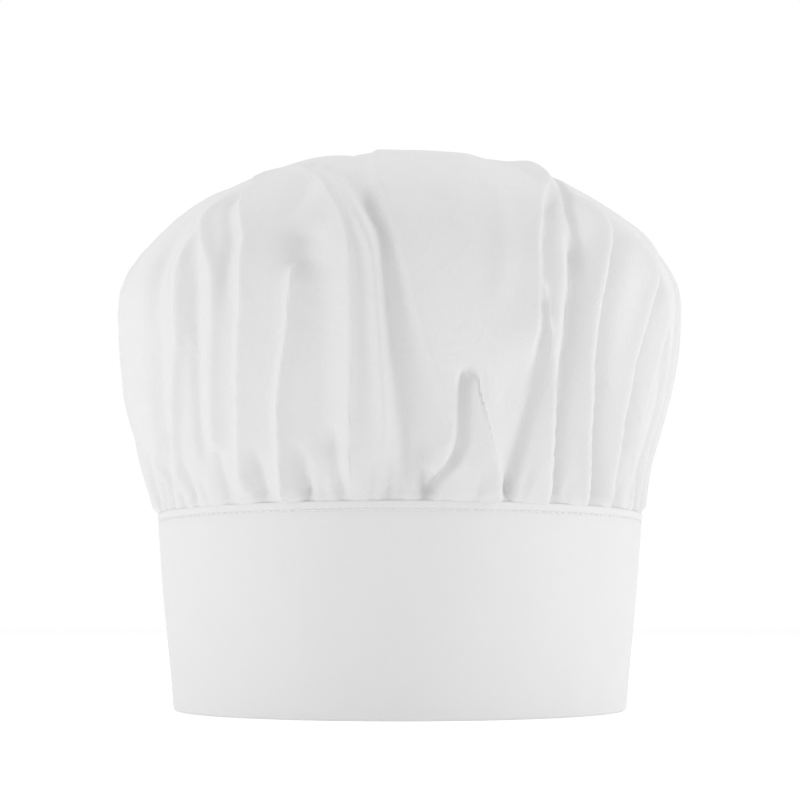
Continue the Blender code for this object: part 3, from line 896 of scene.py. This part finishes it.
class Finish:
    """A Principled material with helpers for adding its nodes."""

    def __init__(self, name, roughness, sheen=0.0, specular=0.3):
        self.material = bpy.data.materials.new(name)
        self.material.use_nodes = True
        self.nodes, self.links = self.material.node_tree.nodes, self.material.node_tree.links
        self.shader = self.nodes["Principled BSDF"]
        self.shader.inputs["Roughness"].default_value = roughness
        self.shader.inputs["Sheen Weight"].default_value = sheen
        self.shader.inputs["Specular IOR Level"].default_value = specular
        self.where = self.nodes.new("ShaderNodeTexCoord")
        self.height = None

    def texture(self, kind, space, **settings):
        made = self.nodes.new(kind)
        for key, value in settings.items():
            if hasattr(made, key):
                setattr(made, key, value)
            else:
                made.inputs[key.replace("_", " ").title()].default_value = value
        self.links.new(self.where.outputs[space], made.inputs["Vector"])
        return made.outputs["Distance" if kind == "ShaderNodeTexVoronoi" else "Fac"]

    def maths(self, operation, first, second):
        made = self.nodes.new("ShaderNodeMath")
        made.operation = operation
        for socket, value in zip(made.inputs, (first, second)):
            if isinstance(value, (int, float)):
                socket.default_value = value
            else:
                self.links.new(value, socket)
        return made.outputs["Value"]

    def bump(self, height, depth, strength=1.0):
        """Adds a layer of bumps, depth metres deep, on top of the ones before."""
        made = self.nodes.new("ShaderNodeBump")
        made.inputs["Distance"].default_value = depth
        made.inputs["Strength"].default_value = strength
        self.links.new(height, made.inputs["Height"])
        if self.height:
            self.links.new(self.height, made.inputs["Normal"])
        self.height = made.outputs["Normal"]
        self.links.new(self.height, self.shader.inputs["Normal"])

    def tint(self, factor, dark, light):
        """Colours the surface between two colours by a factor."""
        made = self.nodes.new("ShaderNodeMix")
        made.data_type = "RGBA"
        made.inputs["A"].default_value = (*dark, 1)
        made.inputs["B"].default_value = (*light, 1)
        self.links.new(factor, made.inputs["Factor"])
        self.links.new(made.outputs["Result"], self.shader.inputs["Base Color"])


def threads(finish, pitch, direction):
    """Parallel threads across the cut cloth, one every pitch."""
    return finish.texture("ShaderNodeTexWave", "UV", bands_direction=direction,
                          scale=2 * math.pi / (20 * pitch), distortion=0.6, detail=1.0)


def woven_cotton(name, tone, creases):
    """White poly-cotton: a plain weave with slubs, faint creases and a slow drift of tone."""
    finish = Finish(name, roughness=0.9, sheen=0.03, specular=0.12)
    warp, weft = threads(finish, 0.42 * MM, "X"), threads(finish, 0.46 * MM, "Y")
    weave = finish.maths("ADD", finish.maths("MULTIPLY", warp, 0.5),
                         finish.maths("MULTIPLY", weft, 0.5))
    slubs = finish.texture("ShaderNodeTexNoise", "UV", scale=900.0, detail=2.0)
    drift = finish.texture("ShaderNodeTexNoise", "Object", scale=14.0, detail=6.0, roughness=0.6)
    mixed = finish.maths("ADD", finish.maths("MULTIPLY", drift, 0.75),
                         finish.maths("MULTIPLY", slubs, 0.25))
    finish.tint(mixed, [tone * 0.965] * 3, [min(1, tone * 1.035)] * 3)
    crease = finish.texture("ShaderNodeTexNoise", "Object", scale=55.0, detail=5.0, roughness=0.55,
                            distortion=0.8)
    finish.bump(crease, creases)
    finish.bump(weave, 0.06 * MM, 0.5)
    return finish.material


def napped(name, tone, scale, depth, roughness=0.95):
    """A fuzzy or matted surface: towelling, loops or non-woven stiffener."""
    finish = Finish(name, roughness=roughness, sheen=0.3, specular=0.15)
    tufts = finish.texture("ShaderNodeTexVoronoi", "Object", scale=scale)
    fibre = finish.texture("ShaderNodeTexNoise", "Object", scale=scale * 2.5, detail=4.0)
    finish.tint(fibre, [tone * 0.93] * 3, [min(1, tone * 1.04)] * 3)
    finish.bump(tufts, depth)
    finish.bump(fibre, depth * 0.4)
    return finish.material


def nylon(name, tone):
    """Moulded hooks: smooth, with a faint grain."""
    finish = Finish(name, roughness=0.42, specular=0.5)
    fibre = finish.texture("ShaderNodeTexNoise", "Object", scale=1400.0, detail=2.0)
    finish.tint(fibre, [tone * 0.95] * 3, [min(1, tone * 1.03)] * 3)
    finish.bump(fibre, 0.05 * MM)
    return finish.material


def satin_ribbon(name, tone):
    """A glossy weave whose threads show mostly one way."""
    finish = Finish(name, roughness=0.35, sheen=0.2, specular=0.55)
    warp = threads(finish, 0.25 * MM, "X")
    drift = finish.texture("ShaderNodeTexNoise", "Object", scale=120.0, detail=3.0)
    finish.tint(drift, [tone * 0.96] * 3, [min(1, tone * 1.02)] * 3)
    finish.bump(warp, 0.03 * MM)
    finish.shader.inputs["Anisotropic"].default_value = 0.4
    return finish.material


def spun_thread(name, tone):
    """Polyester sewing thread with its twist."""
    finish = Finish(name, roughness=0.55, sheen=0.15)
    twist = finish.texture("ShaderNodeTexWave", "Object", bands_direction="DIAGONAL", scale=900.0,
                           distortion=1.0)
    finish.tint(twist, [tone * 0.94] * 3, [min(1, tone * 1.03)] * 3)
    finish.bump(twist, 0.04 * MM)
    return finish.material


# -------- stage


def make_floor():
    """White paper with a glow of its own, so that it meets the white surround without a line."""
    half = 6.0
    corners = [(-half, -half, 0), (half, -half, 0), (half, half, 0), (-half, half, 0)]
    floor = mesh_object("floor", corners, [(0, 1, 2, 3)])
    paper = bpy.data.materials.new("white_paper")
    paper.use_nodes = True
    shader = paper.node_tree.nodes["Principled BSDF"]
    shader.inputs["Base Color"].default_value = (0.8, 0.8, 0.8, 1)
    shader.inputs["Roughness"].default_value = 0.9
    shader.inputs["Emission Color"].default_value = (1, 1, 1, 1)
    shader.inputs["Emission Strength"].default_value = FLOOR_GLOW
    floor.data.materials.append(paper)


def area_light(name, place, target, size, power):
    """A rectangular light at a place, turned to its target."""
    data = bpy.data.lights.new(name, "AREA")
    data.shape = "RECTANGLE"
    data.size, data.size_y = size
    data.energy = power
    light = bpy.data.objects.new(name, data)
    light.location = place
    light.rotation_euler = (Vector(target) - Vector(place)).to_track_quat("-Z", "Y").to_euler()
    bpy.context.scene.collection.objects.link(light)


def make_studio():
    """An even surround that looks white, with a softbox at either side and one above."""
    world = bpy.data.worlds.new("studio")
    bpy.context.scene.world = world
    world.use_nodes = True
    nodes, links = world.node_tree.nodes, world.node_tree.links
    background = nodes["Background"]
    seen = nodes.new("ShaderNodeLightPath")
    mix = nodes.new("ShaderNodeMix")
    mix.inputs["A"].default_value = SURROUND_LIGHT
    mix.inputs["B"].default_value = 1.0
    links.new(seen.outputs["Is Camera Ray"], mix.inputs["Factor"])
    links.new(mix.outputs["Result"], background.inputs["Strength"])
    background.inputs["Color"].default_value = (1, 1, 1, 1)
    middle = (0, 0, 0.13)
    area_light("left_softbox", (-1.5, -0.3, 0.6), middle, (0.7, 1.2), 0.92 * SOFTBOX_POWER)
    area_light("right_softbox", (1.5, -0.3, 0.6), middle, (0.7, 1.2), 1.06 * SOFTBOX_POWER)
    area_light("overhead_softbox", (0, 0.3, 1.6), middle, (1.2, 0.8), 0.8 * SOFTBOX_POWER)
    bpy.context.scene.view_settings.view_transform = "Standard"


def make_camera():
    """The photograph's camera: in front of the hat and a little below its middle."""
    data = bpy.data.cameras.new("camera")
    data.lens = 80
    data.sensor_width = 36
    camera = bpy.data.objects.new("camera", data)
    eye, target = Vector((0, -0.730, 0.036)), Vector((0, 0, 0.126))
    camera.location = eye
    camera.rotation_euler = (target - eye).to_track_quat("-Z", "Y").to_euler()
    bpy.context.scene.collection.objects.link(camera)
    bpy.context.scene.camera = camera


def main():
    crown_cloth = woven_cotton("crown_cotton", 0.70, creases=0.8 * MM)
    band_cloth = woven_cotton("band_cotton", 0.70, creases=0.25 * MM)
    stiffener = napped("non_woven_stiffener", 0.72, 700.0, 0.1 * MM)
    towel = napped("towelling", 0.77, 900.0, 0.3 * MM)
    hooks = nylon("hook_nylon", 0.76)
    loops = napped("loop_nylon", 0.78, 1500.0, 0.1 * MM, roughness=0.8)
    satin = satin_ribbon("satin", 0.8)
    thread = spun_thread("polyester_thread", 0.82)
    crown = make_crown(crown_cloth)
    make_band(band_cloth)
    make_tab(band_cloth)
    make_stitches(thread)
    make_slit(crown, crown_cloth, thread)
    make_sweatband(towel)
    make_sweatband_stitches(thread)
    make_label(satin, thread)
    make_tapes(hooks, loops)
    for node in ("band_interlining", "tab_interlining"):
        frame["nodes"][node].data.materials[0] = stiffener
    make_floor()
    make_studio()
    make_camera()


main()
